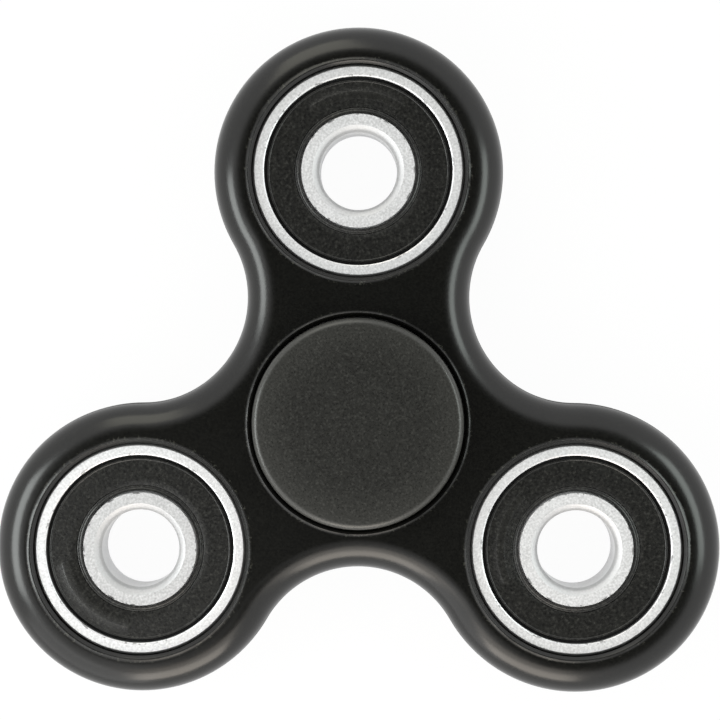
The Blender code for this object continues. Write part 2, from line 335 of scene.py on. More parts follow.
class BearingSettings(PropertyGroup):
    """Sizes and finishes of the four ball bearings."""

    outside_radius: FloatProperty(
        name="Outside radius",
        description="Outside radius of the outer ring",
        default=11 * MM,
        subtype="DISTANCE",
    )
    bore_radius: FloatProperty(
        name="Bore radius",
        description="Radius of the hole in the inner ring",
        default=4 * MM,
        subtype="DISTANCE",
    )
    width: FloatProperty(
        name="Width",
        description="Width of both rings along the axis",
        default=RING_HIGH.z - RING_LOW.z,
        subtype="DISTANCE",
    )
    ball_radius: FloatProperty(
        name="Ball radius",
        description="Radius of each ball",
        default=1.985 * MM,
        subtype="DISTANCE",
    )
    outer_corner: FloatProperty(
        name="Outer corner",
        description="Width of the curved chamfer at the outer ring's outside corners",
        default=0.33 * MM,
        subtype="DISTANCE",
    )
    bore_corner: FloatProperty(
        name="Bore corner",
        description="Width of the rounded chamfer at both ends of the bore",
        default=0.73 * MM,
        subtype="DISTANCE",
    )
    steel: FloatVectorProperty(
        name="Steel",
        description="Colour of the ground steel rings",
        default=(0.69, 0.69, 0.696),
        **COLOUR,
    )
    rubber: FloatVectorProperty(
        name="Rubber",
        description="Colour of the rubber seals",
        default=(0.0096, 0.0096, 0.0086),
        **COLOUR,
    )


class StageSettings(PropertyGroup):
    """Camera and floor."""

    camera_spot: FloatVectorProperty(
        name="Camera place",
        description="Where the camera stands",
        default=(0.00386, 0.009586, 0.2495),
        subtype="XYZ",
        unit="LENGTH",
        precision=5,
    )
    camera_turn: FloatVectorProperty(
        name="Camera turn",
        description="How the camera leans from looking straight down",
        default=(-0.012756, 0.015258, 0.000858),
        subtype="EULER",
    )
    camera_lens: FloatProperty(
        name="Lens",
        description="Focal length on a 36 mm sensor, in millimetres",
        default=116.62,
    )
    floor_colour: FloatVectorProperty(
        name="Floor colour",
        description="Colour of the floor",
        default=(0.9, 0.9, 0.9),
        **COLOUR,
    )


class Wire:
    """A node socket that takes part in arithmetic: each operator adds a Math node to its tree."""

    def __init__(self, tree, socket=None):
        self.tree = tree
        self.socket = socket

    def node(self, kind, settings=None, sockets=None, output=0):
        """Adds a node, sets its settings and then its sockets, and gives back one of its outputs."""
        made = self.tree.nodes.new(kind)
        for name, value in (settings or {}).items():
            if name == "stops":
                ramp = made.color_ramp.elements
                while len(ramp) < len(value):
                    ramp.new(1)
                for stop, (position, shade) in zip(ramp, value):
                    stop.position = position
                    stop.color = (shade, shade, shade, 1)
            else:
                setattr(made, name, value)
        for name, value in (sockets or {}).items():
            if isinstance(value, Wire):
                self.tree.links.new(value.socket, made.inputs[name])
            else:
                made.inputs[name].default_value = value
        return Wire(self.tree, made.outputs[output] if made.outputs else None)

    def maths(self, operation, *values):
        return self.node("ShaderNodeMath", {"operation": operation}, dict(enumerate(values)))

    def __add__(self, other):
        return self.maths("ADD", self, other)

    def __sub__(self, other):
        return self.maths("SUBTRACT", self, other)

    def __rsub__(self, other):
        return self.maths("SUBTRACT", other, self)

    def __mul__(self, other):
        return self.maths("MULTIPLY", self, other)

    __radd__ = __add__
    __rmul__ = __mul__


def new_finish(name, fixed):
    """Starts a material and gives back its tree as a wire, with the fixed numbers set on its surface."""
    finish = bpy.data.materials.new(name)
    finish.use_nodes = True
    surface = finish.node_tree.nodes["Principled BSDF"]
    for socket, value in fixed.items():
        surface.inputs[socket].default_value = value
    return finish, Wire(finish.node_tree), surface


def join_sockets(wire, surface, links):
    for socket, value in links.items():
        wire.tree.links.new(value.socket, surface.inputs[socket])


def noise(wire, place, size, detail):
    """Noise whose grains are about size metres wide, from 0 to 1."""
    return wire.node("ShaderNodeTexNoise", None, {"Vector": place, "Scale": 1 / size, "Detail": detail})


def rise(wire, value, low, high):
    """A soft step: 0 where value is under low and 1 where it is over high."""
    sockets = {"Value": value, "From Min": low, "From Max": high}
    return wire.node("ShaderNodeMapRange", {"interpolation_type": "SMOOTHSTEP"}, sockets)


def fall(wire, value, low, high):
    """A soft step down: 1 where value is under low and 0 where it is over high."""
    return 1 - rise(wire, value, low, high)


def scattered(wire, place, size, low, high):
    """Scattered specks: 0 where fine noise is under low and 1 where it is over high."""
    return rise(wire, noise(wire, place, size, detail=2), low, high)


def bump(wire, height, depth):
    """Surface relief of this depth in metres where height runs from 0 to 1."""
    return wire.node("ShaderNodeBump", None, {"Height": height, "Distance": depth, "Strength": 1.0})


def shaded(wire, colour, amount):
    """A colour made darker or lighter all over by an amount that is 1 where it stays the same."""
    grey = wire.node("ShaderNodeCombineColor", None, {"Red": amount, "Green": amount, "Blue": amount})
    settings = {"data_type": "RGBA", "blend_type": "MULTIPLY"}
    sockets = {MIX_FACTOR: 1.0, MIX_FIRST: (*colour, 1), MIX_SECOND: grey}
    return wire.node("ShaderNodeMix", settings, sockets, MIX_RESULT)


def split(wire, place):
    """The three coordinates of a place."""
    return [wire.node("ShaderNodeSeparateXYZ", None, {"Vector": place}, axis) for axis in range(3)]


def from_axis(wire, place, axis=ORIGIN):
    """How far a place lies from an upright axis, and how far above or below the middle plane."""
    across, along, up = split(wire, place)
    aside = across - axis[0]
    ahead = along - axis[1]
    radius = wire.maths("SQRT", aside * aside + ahead * ahead)
    return radius, wire.maths("ABSOLUTE", up - MIDDLE)


def on_seat_lips(wire, place, spots):
    """1 on the lip round each bearing seat and 0 elsewhere."""
    lips = 0
    for spot in spots:
        radius, _ = from_axis(wire, place, spot)
        lips += rise(wire, radius, *SEAT_LIP_START) * fall(wire, radius, *SEAT_LIP_END)
    return lips


def moulded_plastic(colour, seats):
    """Black satin plastic, faintly textured, dull along the parting line and paler in specks on the seat
    lips.
    """
    finish, wire, surface = new_finish("moulded_plastic", PLASTIC)
    place = wire.node("ShaderNodeTexCoord", output="Object")
    _, height = from_axis(wire, place)
    parting = fall(wire, height, *PARTING_END)
    patches = noise(wire, place, size=6 * MM, detail=3)
    texture = noise(wire, place, size=0.24 * MM, detail=2)
    dust = wire.maths("GREATER_THAN", noise(wire, place, size=0.4 * MM, detail=0), DUST_LEVEL)
    crumbs = scattered(wire, place, size=0.3 * MM, low=0.56, high=0.7) * on_seat_lips(wire, place, seats)
    tone = 2.0 * texture + 0.2 * patches + 0.7 * dust + 7.0 * crumbs - 0.1
    links = {
        "Base Color": shaded(wire, colour, tone),
        "Roughness": 0.17 + 0.06 * patches + 0.05 * texture + 0.45 * parting,
        "Normal": bump(wire, texture, depth=0.003 * MM),
    }
    join_sockets(wire, surface, links)
    return finish


def grained_plastic(colour):
    """Dark matte plastic with the fine even grain of an eroded mould, with a painted sheen towards the rim
    and a painted highlight on the rim.
    """
    finish, wire, surface = new_finish("grained_plastic", PLASTIC)
    place = wire.node("ShaderNodeTexCoord", output="Object")
    radius, _ = from_axis(wire, place)
    # Painted sheen towards the rim and a painted highlight on the rim
    painted_highlight = 0.45 * rise(wire, radius, *CAP_SHEEN_BAND) + 0.8 * rise(wire, radius, *RIM_HIGHLIGHT_BAND)
    grain = noise(wire, place, size=0.22 * MM, detail=2)
    sparkle = rise(wire, grain, low=0.55, high=0.75)
    patches = noise(wire, place, size=5 * MM, detail=2)
    tone = 1.5 * grain + 0.6 * sparkle + 0.2 * patches + painted_highlight + 0.08
    links = {
        "Base Color": shaded(wire, colour, tone),
        "Roughness": 0.22 + 0.16 * grain,
        "Normal": bump(wire, grain, depth=0.014 * MM),
    }
    join_sockets(wire, surface, links)
    return finish


def ground_steel(name, colour, darkening):
    """Bearing steel: grainy flats, smooth chamfers, a duller bore with painted shade where its chamfers
    meet its wall, a painted highlight on the outer ring away from its face and specks of rubber along the
    seals.
    """
    finish, wire, surface = new_finish(name, STEEL)
    place = wire.node("ShaderNodeAttribute", {"attribute_name": PLACE_ATTRIBUTE}, output="Vector")
    radius, height = from_axis(wire, place)
    flat = rise(wire, height, *RING_FACE) * rise(wire, radius, *CHAMFER_END)
    bore = fall(wire, radius, *BORE_END)
    # Painted shade where the bore's chamfers meet its wall
    painted_bore_shade = rise(wire, height, *BORE_SHADE_START) * fall(wire, height, *BORE_SHADE_END) * bore
    grain = noise(wire, place, size=0.21 * MM, detail=2)
    patches = noise(wire, place, size=2 * MM, detail=2)
    inner = fall(wire, radius, *RING_GAP)
    # Painted highlight on the outer ring's surfaces other than its flat face, seen on its corners and
    # groove break
    edge = (1 - flat) * (1 - inner)
    groove_edge = (1 - inner) * fall(wire, radius, *GROOVE_EDGE)
    side_edge = inner * rise(wire, radius, *SIDE_EDGE)
    specks = scattered(wire, place, size=0.7 * MM, low=0.58, high=0.66) * rise(wire, height, *NEAR_FACE)
    smears = specks * (groove_edge + side_edge)
    tone = (0.3 + 0.42 * flat) * (grain - 0.5) + 0.06 * patches + 0.1 * edge - 0.04 * inner + 1
    links = {
        "Base Color": shaded(wire, colour, tone - 0.22 * painted_bore_shade - 0.55 * smears - darkening * (1 - bore)),
        "Roughness": 0.4 + 0.2 * flat + 0.1 * bore + 0.22 * inner + 0.1 * grain,
        "Normal": bump(wire, grain, depth=0.003 * MM),
    }
    join_sockets(wire, surface, links)
    return finish


def moulded_rubber(colour):
    """Black rubber with a dusty, uneven skin, paler in specks by the lip, with a painted highlight on the
    pad's top and painted shade in the groove along its rim.
    """
    finish, wire, surface = new_finish("moulded_rubber", PLASTIC)
    place = wire.node("ShaderNodeAttribute", {"attribute_name": PLACE_ATTRIBUTE}, output="Vector")
    radius, height = from_axis(wire, place)
    # Painted shade in the groove along the rim, which is also made rougher
    groove = rise(wire, radius, RIDGE_OUTSIDE, RIDGE_OUTSIDE + RIDGE_SLOPE)
    # Painted highlight on the pad's raised top
    painted_highlight = rise(wire, height, SEAL_FACE, SEAL_FACE + PAD_RISE) * fall(wire, radius, *PAD_END)
    grain = noise(wire, place, size=0.18 * MM, detail=3)
    specks = noise(wire, place, size=0.3 * MM, detail=1)
    dust = rise(wire, specks, low=0.55, high=0.8)
    patches = noise(wire, place, size=2.4 * MM, detail=2)
    crumbs = scattered(wire, place, size=0.32 * MM, low=0.54, high=0.68) * fall(wire, radius, *SEAL_LIP_END)
    tone = 3.0 * specks + 1.2 * dust + 0.3 * patches + 0.35 * painted_highlight + 2.4 * crumbs - 0.6
    links = {
        "Base Color": shaded(wire, colour, tone * (1 - 0.95 * groove)),
        "Roughness": 0.2 + 0.18 * grain + 0.6 * groove,
        "Normal": bump(wire, grain, depth=0.024 * MM),
    }
    join_sockets(wire, surface, links)
    return finish


def polished_steel(name, shade, roughness):
    """Plain bright steel of the hidden balls and cages, with faint scuffs."""
    finish, wire, surface = new_finish(name, STEEL)
    place = wire.node("ShaderNodeTexCoord", output="Object")
    scuffs = noise(wire, place, size=0.6 * MM, detail=3)
    links = {
        "Base Color": shaded(wire, (shade, shade, shade), 0.9 + 0.2 * scuffs),
        "Roughness": roughness + 0.1 * scuffs,
    }
    join_sockets(wire, surface, links)
    return finish


def clear_selection():
    if bpy.context.object and bpy.context.object.mode != "OBJECT":
        bpy.ops.object.mode_set(mode="OBJECT")
    bpy.ops.object.select_all(action="DESELECT")


def choose(piece):
    """Selects one piece alone and makes it the active one."""
    clear_selection()
    piece.select_set(True)
    bpy.context.view_layer.objects.active = piece


def pick(piece, kind, test):
    """Selects, in edit mode, only those vertices, edges or faces that pass a test."""
    bpy.ops.mesh.select_mode(type=SELECT_MODES[kind])
    mesh = bmesh.from_edit_mesh(piece.data)
    for item in [*mesh.verts, *mesh.edges, *mesh.faces]:
        item.select = False
    for item in getattr(mesh, kind):
        if test(item):
            item.select_set(True)
    if kind == "verts":
        mesh.select_flush(True)
    bmesh.update_edit_mesh(piece.data)


def apply_modifier(piece, kind, **settings):
    choose(piece)
    bpy.ops.object.modifier_add(type=kind)
    modifier = piece.modifiers[-1]
    for name, value in settings.items():
        setattr(modifier, name, value)
    bpy.ops.object.modifier_apply(modifier=modifier.name)


def start_point(name, spot):
    """Starts a piece in edit mode as a single point."""
    clear_selection()
    bpy.ops.mesh.primitive_plane_add(size=START_SIZE, enter_editmode=True)
    piece = bpy.context.object
    piece.name = name
    piece.data.name = name
    bpy.ops.mesh.select_mode(type="VERT")
    bpy.ops.mesh.merge(type="CENTER")
    bpy.ops.transform.translate(value=spot)
    return piece


def draw_line(start, points):
    """Draws on from the selected point at start through each of the points."""
    here = Vector(start)
    for there in points:
        step = Vector(there) - here
        bpy.ops.mesh.extrude_region_move(TRANSFORM_OT_translate={"value": step})
        here = Vector(there)


def merge_ends():
    bpy.ops.mesh.select_all(action="SELECT")
    bpy.ops.mesh.remove_doubles(threshold=MERGE_DISTANCE)


def merge_and_face_out():
    merge_ends()
    bpy.ops.mesh.normals_make_consistent(inside=False)


def round_corner(piece, spot, radius, steps):
    """Rounds the corner of a drawn profile that lies at spot."""
    pick(piece, "verts", lambda vertex: (vertex.co - Vector(spot)).length < MERGE_DISTANCE)
    bpy.ops.mesh.bevel(offset=radius, segments=steps, affect="VERTICES", clamp_overlap=False)


def turn_profile(name, profile, segments):
    """Draws a profile of (radius, height, rounding, rounding steps) at +X and spins it about the axis.

    Heights count from the middle plane. A profile that starts on the axis stays open there.
    """
    spots = [(radius, 0, MIDDLE + height) for radius, height, *_ in profile]
    piece = start_point(name, spots[0])
    closed = profile[0][0] > 0
    draw_line(spots[0], spots[1:] + (spots[:1] if closed else []))
    merge_ends()
    for spot, (_, _, *rounding) in zip(spots, profile):
        if rounding:
            round_corner(piece, spot, *rounding)
    bpy.ops.mesh.select_all(action="SELECT")
    bpy.ops.mesh.spin(steps=segments, angle=2 * math.pi, center=ORIGIN, axis=UP)
    merge_and_face_out()
    return piece


def both_sides(upper):
    """A profile's upper half, followed in reverse order by its mirror image below."""
    return [*upper, *[(radius, -height, *rounding) for radius, height, *rounding in reversed(upper)]]


def smooth(piece, weight=EVEN_WEIGHT):
    """Shades a piece smooth between its sharp edges; a higher weight keeps its large faces flatter."""
    choose(piece)
    bpy.ops.object.shade_smooth_by_angle(angle=SMOOTH_ANGLE)
    apply_modifier(piece, "WEIGHTED_NORMAL", keep_sharp=True, weight=weight)


def remember_place(piece):
    """Keeps where each vertex lies from the bearing's own axis, for finishes that follow the bearing."""
    spots = [value for vertex in piece.data.vertices for value in vertex.co]
    kept = piece.data.attributes.new(PLACE_ATTRIBUTE, "FLOAT_VECTOR", "POINT")
    kept.data.foreach_set("vector", spots)


def place_copy(piece, name, spot, turn, upside_down=False):
    """Copies a piece with its own mesh, turned about its axis and set at spot on the middle plane."""
    choose(piece)
    bpy.ops.object.duplicate(linked=False)
    copy = bpy.context.object
    copy.name = name
    copy.data.name = name
    lift = 2 * MIDDLE if upside_down else 0
    copy.rotation_euler = (math.pi if upside_down else 0, 0, turn)
    copy.location = (spot[0], spot[1], lift)
    bpy.ops.object.transform_apply(location=True, rotation=True, scale=True)
    return copy


def remove(*pieces):
    clear_selection()
    for piece in pieces:
        piece.select_set(True)
    bpy.ops.object.delete()


def hand_over(piece, finish, body, node):
    """Gives a finished piece its material and the body that it moves with, and hides the node that it
    stands for.
    """
    piece.data.materials.append(finish)
    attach(piece, body)
    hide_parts(node)


def polar(radius, angle, height=MIDDLE):
    return radius * math.cos(angle), radius * math.sin(angle), height


def lobe_angle(lobe):
    return math.pi / 2 + 2 * math.pi * lobe / LOBE_COUNT


def ball_angle(number):
    return 2 * math.pi * number / BALL_COUNT


def bearing_places(context):
    """Where each bearing's axis stands and how far its lobe is turned from +X."""
    pitch = context.scene.spinner_body.pitch_radius
    places = {"centre": (Vector(ORIGIN), 0)}
    for lobe, name in enumerate(WEIGHTS):
        places[name] = (Vector(polar(pitch, lobe_angle(lobe))), lobe_angle(lobe))
    return places


def ball_pitch(bearing):
    return (bearing.outside_radius + bearing.bore_radius) / 2


class SPINNER_OT_body(Operator):
    """Draws the outline of the body, raises it, rounds it and cuts the four bearing seats"""

    bl_idname = "spinner.body"
    bl_label = "Moulded Body"

    lobe_steps: IntProperty(name="Lobe steps", description="Facets round each lobe", default=96)
    hollow_steps: IntProperty(name="Hollow steps", description="Facets in each hollow", default=40)
    edge_steps: IntProperty(name="Edge steps", description="Facets round each edge", default=14)
    seat_steps: IntProperty(name="Seat steps", description="Facets round each seat", default=144)
    flare_steps: IntProperty(name="Flare steps", description="Facets in a seat's curved mouth", default=3)

    def draw_outline(self, settings):
        """Draws three lobes joined by hollows that they run into without a corner."""
        pitch, lobe_radius, waist = settings.pitch_radius, settings.lobe_radius, settings.waist_radius
        half_step = math.pi / LOBE_COUNT
        spread = 2 * math.cos(half_step)
        room = waist**2 + pitch**2 - spread * waist * pitch - lobe_radius**2
        hollow_radius = room / (spread * pitch + 2 * lobe_radius - 2 * waist)
        hollow_pitch = waist + hollow_radius
        across = hollow_pitch * math.sin(half_step)
        along = hollow_pitch * math.cos(half_step) - pitch
        half_lobe = math.atan2(across, along)
        half_hollow = half_lobe - half_step
        low = MIDDLE - settings.thickness / 2
        out = lobe_angle(0)
        lobe_middle = Vector(polar(pitch, out, low))
        body = start_point("moulded_body", lobe_middle + Vector(polar(lobe_radius, out - half_lobe, 0)))
        for lobe in range(LOBE_COUNT):
            out = lobe_angle(lobe)
            middle = polar(pitch, out, low)
            bpy.ops.mesh.spin(steps=self.lobe_steps, angle=-2 * half_lobe, center=middle, axis=UP)
            middle = polar(hollow_pitch, out + half_step, low)
            bpy.ops.mesh.spin(steps=self.hollow_steps, angle=2 * half_hollow, center=middle, axis=UP)
        merge_ends()
        return body

    def raise_outline(self, body, settings):
        """Fills the outline, raises it and rounds its upper and lower edges."""
        bpy.ops.mesh.edge_face_add()
        bpy.ops.mesh.extrude_region_move(TRANSFORM_OT_translate={"value": (0, 0, settings.thickness)})
        merge_and_face_out()
        pick(body, "edges", lambda edge: abs(edge.verts[0].co.z - edge.verts[1].co.z) < MERGE_DISTANCE)
        bpy.ops.mesh.bevel(
            offset=settings.edge_radius,
            segments=self.edge_steps,
            affect="EDGES",
            clamp_overlap=False,
        )

    def score_parting_line(self, body, settings):
        """Sinks a fine groove into the side along the middle plane."""
        bpy.ops.mesh.select_all(action="SELECT")
        bpy.ops.mesh.bisect(plane_co=(0, 0, MIDDLE), plane_no=UP)
        bpy.ops.mesh.bevel(offset=settings.parting_width / 2, segments=2, affect="EDGES")
        pick(body, "verts", lambda vertex: abs(vertex.co.z - MIDDLE) < MERGE_DISTANCE)
        bpy.ops.transform.shrink_fatten(value=-settings.parting_depth)

    def cut_seats(self, body, settings, wall, places):
        """Cuts the four seats with a turned tool that widens in a curve towards both faces."""
        half = settings.thickness / 2
        mouth = wall + settings.seat_flare
        beyond = half + settings.seat_flare
        curve = settings.seat_flare * FLARE_CURVE
        turns = [FLARE_SLOPE * step / self.flare_steps for step in range(self.flare_steps + 1)]
        flare = [(mouth - curve * math.sin(turn), half - curve * (1 - math.cos(turn))) for turn in turns]
        foot = flare[-1][1] - (flare[-1][0] - wall) * math.tan(FLARE_SLOPE)
        profile = both_sides([(0, beyond), (mouth, beyond), *flare, (wall, foot)])
        cutter = turn_profile("seat_cutter", profile, self.seat_steps)
        cutters = [place_copy(cutter, "cutter_" + name, *place) for name, place in places.items()]
        for tool in cutters:
            apply_modifier(body, "BOOLEAN", operation="DIFFERENCE", object=tool)
        remove(cutter, *cutters)

    def raise_lips(self, body, settings, wall, places):
        """Raises a slightly uneven lip round the mouth of each seat on both faces."""
        half = settings.thickness / 2
        mouth = wall + settings.seat_flare
        crest = mouth + settings.lip_rise
        shoulder = crest + settings.lip_fall * LIP_SHOULDER_WIDTH
        sunk = settings.lip_height / LIP_SINK
        profile = [
            (crest, half + settings.lip_height),
            (shoulder, half + settings.lip_height * LIP_SHOULDER_HEIGHT),
            (crest + settings.lip_fall * (1 + 1 / LIP_SINK), half - sunk),
            (crest, half - settings.lip_height),
            (mouth, half - sunk),
        ]
        lip = turn_profile("seat_lip", profile, self.seat_steps)
        pick(lip, "verts", lambda vertex: vertex.co.z > MIDDLE + half)
        bpy.ops.transform.vertex_random(offset=LIP_UNEVENNESS, seed=LIP_SEED, wait_for_input=False)
        lips = []
        for name, place in places.items():
            lips.append(place_copy(lip, "upper_lip_" + name, *place))
            lips.append(place_copy(lip, "lower_lip_" + name, *place, upside_down=True))
        choose(lips[0])
        for ring in lips:
            ring.select_set(True)
        bpy.ops.object.join()
        apply_modifier(body, "BOOLEAN", operation="UNION", object=lips[0])
        remove(lip, lips[0])

    def execute(self, context):
        settings = context.scene.spinner_body
        places = bearing_places(context)
        wall = context.scene.spinner_bearing.outside_radius + settings.seat_fit
        body = self.draw_outline(settings)
        self.raise_outline(body, settings)
        self.score_parting_line(body, settings)
        self.cut_seats(body, settings, wall, places)
        self.raise_lips(body, settings, wall, places)
        smooth(body)
        finish = moulded_plastic(settings.colour, [spot for spot, _ in places.values()])
        hand_over(body, finish, "spinner_body", "three_lobe_body")
        return {"FINISHED"}


class SPINNER_OT_caps(Operator):
    """Turns the two finger caps, one with a pin and one with a socket"""

    bl_idname = "spinner.caps"
    bl_label = "Finger Caps"

    segments: IntProperty(name="Segments", description="Facets round each cap", default=128)

    def crown(self, caps, face):
        """The face of a cap: flat in the middle, then falling gently to the rim."""
        points = [(0, face)]
        for step in range(CROWN_STEPS):
            share = step / CROWN_STEPS
            points.append((CROWN_START + (caps.radius - CROWN_START) * share, face - CROWN_DROP * share**2))
        return points

    def profile(self, caps, bearing, inside):
        face = CAP_HIGH.z - MIDDLE
        under = face - caps.thickness
        ceiling = face - CAP_WALL
        wall = caps.radius - CAP_WALL
        collar = bearing.width / 2 + COLLAR_GAP
        return [
            *self.crown(caps, face),
            (caps.radius, face - CROWN_DROP, caps.edge_radius, RIM_STEPS),
            (caps.radius, under, CAP_FOOT_EDGE, EDGE_STEPS),
            (wall, under, CAP_INNER_EDGE, EDGE_STEPS),
            (wall, ceiling),
            (COLLAR_RADIUS, ceiling),
            (COLLAR_RADIUS, collar),
            (caps.stem_radius, collar),
            (caps.stem_radius, STEM_END, STEM_CHAMFER, EDGE_STEPS),
            *inside,
        ]

    def execute(self, context):
        caps = context.scene.spinner_caps
        bearing = context.scene.spinner_bearing
        finish = grained_plastic(caps.colour)
        pin = [(PIN_RADIUS, STEM_END), (PIN_RADIUS, PIN_END, STEM_CHAMFER, EDGE_STEPS), (0, PIN_END)]
        socket = [
            (SOCKET_RADIUS, STEM_END, SOCKET_EDGE, EDGE_STEPS),
            (SOCKET_RADIUS, SOCKET_END),
            (0, SOCKET_END),
        ]
        upper = turn_profile("upper_finger_cap", self.profile(caps, bearing, pin), self.segments)
        smooth(upper)
        drawn = turn_profile("drawn_cap", self.profile(caps, bearing, socket), self.segments)
        smooth(drawn)
        lower = place_copy(drawn, "lower_finger_cap", ORIGIN, 0, upside_down=True)
        remove(drawn)
        hand_over(upper, finish, "finger_caps", "upper_cap")
        hand_over(lower, finish, "finger_caps", "lower_cap")
        return {"FINISHED"}


class SPINNER_OT_rings(Operator):
    """Turns the outer and inner rings and sets a pair in each bearing"""

    bl_idname = "spinner.rings"
    bl_label = "Bearing Rings"

    segments: IntProperty(name="Segments", description="Facets round each ring", default=144)

    def race(self, bearing, shoulder, way):
        """Raceway groove as points from its lower to its upper edge, about the ball's middle."""
        pitch = ball_pitch(bearing)
        radius = bearing.ball_radius + RACE_CLEARANCE
        reach = math.acos(abs(shoulder - pitch) / radius)
        angles = [reach * (2 * step / RACE_STEPS - 1) for step in range(RACE_STEPS + 1)]
        return [(pitch + way * radius * math.cos(angle), radius * math.sin(angle)) for angle in angles]

    def outer_profile(self, bearing):
        """The outer ring's section: raceway, seal groove, face and curved outside corners."""
        half = bearing.width / 2
        outside = bearing.outside_radius
        upper = [
            (OUTER_SHOULDER, GROOVE_FLOOR),
            (GROOVE_WALL, GROOVE_FLOOR),
            (GROOVE_WALL, half - GROOVE_BREAK_DEPTH),
            (GROOVE_WALL + GROOVE_BREAK_WIDTH, half),
            *self.corner(outside - bearing.outer_corner, outside, half, OUTER_CORNER_TILT),
        ]
        return [*self.race(bearing, OUTER_SHOULDER, 1), *both_sides(upper)]

    def corner(self, face, wall, half, start):
        """A curved chamfer from the face at one radius to the wall at another, starting with an edge."""
        radius = (wall - face) / (math.sin(CORNER_END_TILT) - math.sin(start))
        points = []
        for step in range(CORNER_STEPS + 1):
            tilt = start + (CORNER_END_TILT - start) * step / CORNER_STEPS
            across = radius * (math.sin(tilt) - math.sin(start))
            down = abs(radius) * (math.cos(start) - math.cos(tilt))
            points.append((face + across, half - down))
        return points

    def inner_profile(self, bearing):
        """The inner ring's section: raceway, shoulder under the seal's lip, face and bore."""
        half = bearing.width / 2
        bore = bearing.bore_radius
        upper = [
            (INNER_SHOULDER, SHOULDER_TOP),
            (SIDE_WALL, SIDE_FOOT),
            (SIDE_WALL, half - SIDE_BREAK),
            (SIDE_WALL - SIDE_BREAK, half),
            *self.corner(bore + bearing.bore_corner, bore, half, BORE_CORNER_TILT),
        ]
        return [*self.race(bearing, INNER_SHOULDER, -1), *both_sides(upper)]

    def execute(self, context):
        bearing = context.scene.spinner_bearing
        finish = ground_steel("ground_steel", bearing.steel, 0)
        # A darker copy of the steel for one inner ring
        darker_finish = ground_steel("dull_ground_steel", bearing.steel, DARKENING)
        outer = turn_profile("outer_ring", self.outer_profile(bearing), self.segments)
        inner = turn_profile("inner_ring", self.inner_profile(bearing), self.segments)
        for ring in (outer, inner):
            smooth(ring, FLAT_WEIGHT)
            remember_place(ring)
        for name, place in bearing_places(context).items():
            ring = place_copy(outer, name + "_outer_race_ring", *place)
            hand_over(ring, finish, "spinner_body", name + "_outer_ring")
            ring = place_copy(inner, name + "_inner_race_ring", *place)
            carrier = "finger_caps" if name == "centre" else name + "_inner"
            inner_finish = darker_finish if name == DARKER_BEARING else finish
            hand_over(ring, inner_finish, carrier, name + "_inner_ring")
        remove(outer, inner)
        return {"FINISHED"}


class SPINNER_OT_seals(Operator):
    """Turns the rubber seals, each with a plain raised pad, and sets two in each bearing"""

    bl_idname = "spinner.seals"
    bl_label = "Rubber Seals"

    segments: IntProperty(name="Segments", description="Facets round each seal", default=160)

    def profile(self):
        """The seal's section: land at the rim, ridge, flat face and two fine ridges by the inner lip."""
        edge = (SEAL_EDGE, EDGE_STEPS)
        ridge_inside = RIDGE_OUTSIDE - RIDGE_WIDTH
        points = [
            (SEAL_LIP, SEAL_UNDERSIDE),
            (SEAL_RIM, SEAL_UNDERSIDE),
            (SEAL_RIM, SEAL_LAND),
            (RIDGE_OUTSIDE + RIDGE_SLOPE, SEAL_LAND),
            (RIDGE_OUTSIDE, RIDGE_TOP, *edge),
            (ridge_inside, RIDGE_TOP, *edge),
            (ridge_inside - RIDGE_SLOPE, SEAL_FACE),
            (PAD_OUTSIDE, SEAL_FACE),
            (PAD_INSIDE, SEAL_FACE),
            (FACE_INSIDE, SEAL_FACE, *edge),
        ]
        valley = FACE_INSIDE - SEAL_EDGE
        for number in range(LIP_RIDGES):
            low = LIP_VALLEY - LIP_RIDGE_FALL * number
            points.append((valley, low))
            points.append((valley - LIP_RIDGE_PITCH / 2, low + LIP_RIDGE_RISE, *edge))
            valley -= LIP_RIDGE_PITCH
        return [*points, (SEAL_LIP, LIP_TOP)]

    def raise_pad(self, seal):
        """Raises a low plain pad along the flat of the seal, about +X."""

        def in_pad(face):
            middle = face.calc_center_median()
            on_flat = PAD_INSIDE < math.hypot(middle.x, middle.y) < PAD_OUTSIDE and face.normal.z > UPWARD
            return on_flat and abs(math.atan2(middle.y, middle.x)) < PAD_HALF

        pick(seal, "faces", in_pad)
        for width, height in PAD_SLOPES:
            bpy.ops.mesh.inset(thickness=width, depth=height)

    def execute(self, context):
        bearing = context.scene.spinner_bearing
        finish = moulded_rubber(bearing.rubber)
        seal = turn_profile("seal", self.profile(), self.segments)
        self.raise_pad(seal)
        smooth(seal)
        remember_place(seal)
        for name, (spot, _) in bearing_places(context).items():
            turn = math.radians(SEAL_TURNS[name])
            for side in SIDES:
                placed = place_copy(seal, f"{name}_{side}_rubber_seal", spot, turn, side == "lower")
                hand_over(placed, finish, "spinner_body", f"{name}_{side}_seal")
        remove(seal)
        return {"FINISHED"}


